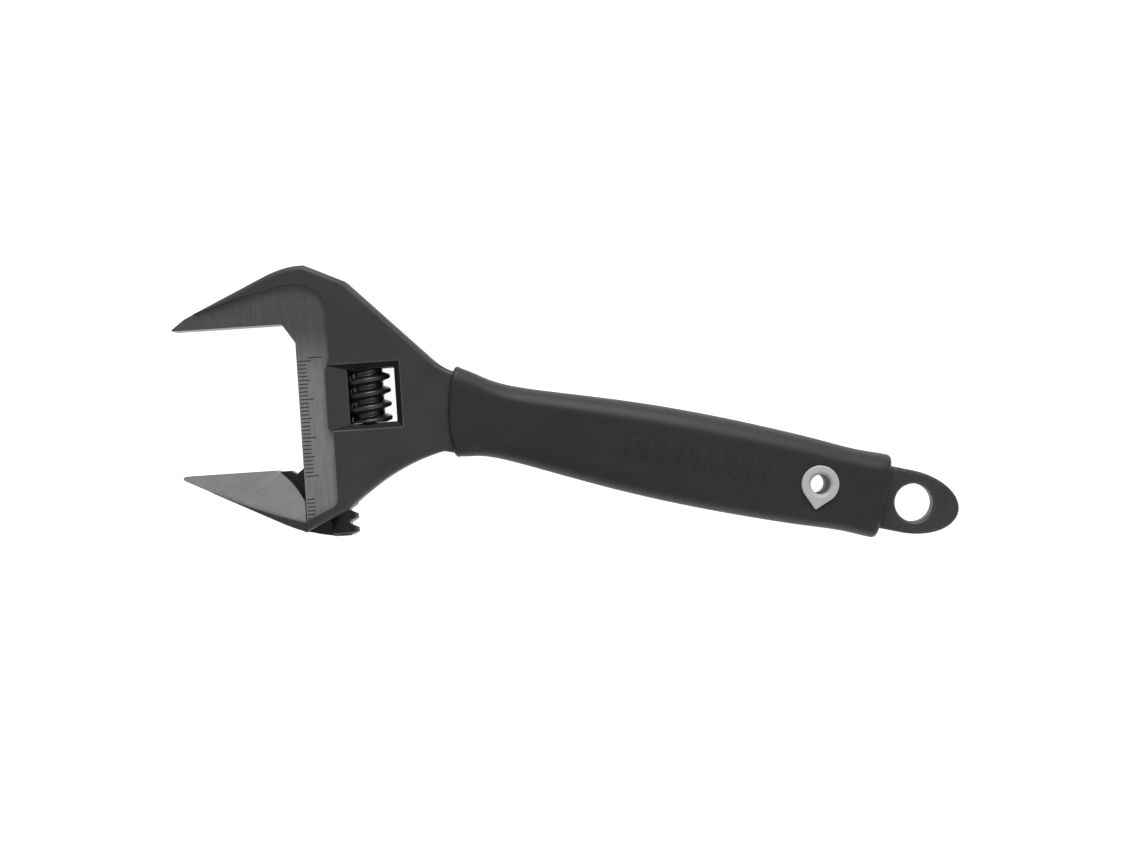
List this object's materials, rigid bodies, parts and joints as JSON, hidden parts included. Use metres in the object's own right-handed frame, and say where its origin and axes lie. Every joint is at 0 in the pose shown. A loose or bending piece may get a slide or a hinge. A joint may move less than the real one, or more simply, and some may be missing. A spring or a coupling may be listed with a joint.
{
  "type": "adjustable wrench",
  "caption": "Wide-opening adjustable wrench: slim angled jaws, a worm-driven sliding jaw, a two-material grip, a lanyard eyelet and a hanging hole.",
  "frame": {"origin": "centre of the hanging hole, on the middle plane of the tang", "axes": "+X along the handle, away from the head; +Y towards the fixed jaw's side; +Z out of the front face, along the hanging hole"},
  "size_m": [0.2108, 0.0681, 0.0168],
  "materials": {
    "forged_steel": "dark phosphated forging with ground jaw faces",
    "jaw_steel": "ground faces, dark phosphated rib and slide",
    "worm_steel": "dark oiled machined steel",
    "pin_steel": "turned steel",
    "spring_steel": "drawn spring wire",
    "hard_plastic": "moulded hard plastic",
    "soft_rubber": "soft moulded rubber with a satin skin",
    "grey_plastic": "light grey moulded plastic"
  },
  "bodies": {
    "frame_body": {"frame": "forged_steel", "worm_pin": "pin_steel", "worm_spring": "spring_steel", "grip_liner": "hard_plastic", "grip_sleeve": "soft_rubber", "eyelet_front": "grey_plastic", "eyelet_back": "grey_plastic"},
    "jaw_body": {"movable_jaw": "jaw_steel"},
    "worm_body": {"worm": "worm_steel"}
  },
  "joints": [
    {"name": "jaw_slide", "type": "slide", "parent": "frame_body", "child": "jaw_body", "axis": [-0.2588, 0.9659, 0], "range_m": [0, 0.03795]},
    {"name": "worm_spin", "type": "hinge", "parent": "frame_body", "child": "worm_body", "pos_m": [-0.1456, -0.00026, 0], "axis": [-0.2588, 0.9659, 0], "range_deg": [-3796, 0]}
  ],
  "couplings": [
    {"joint": "worm_spin", "follows": "jaw_slide", "rad_per_m": -1745.3}
  ]
}
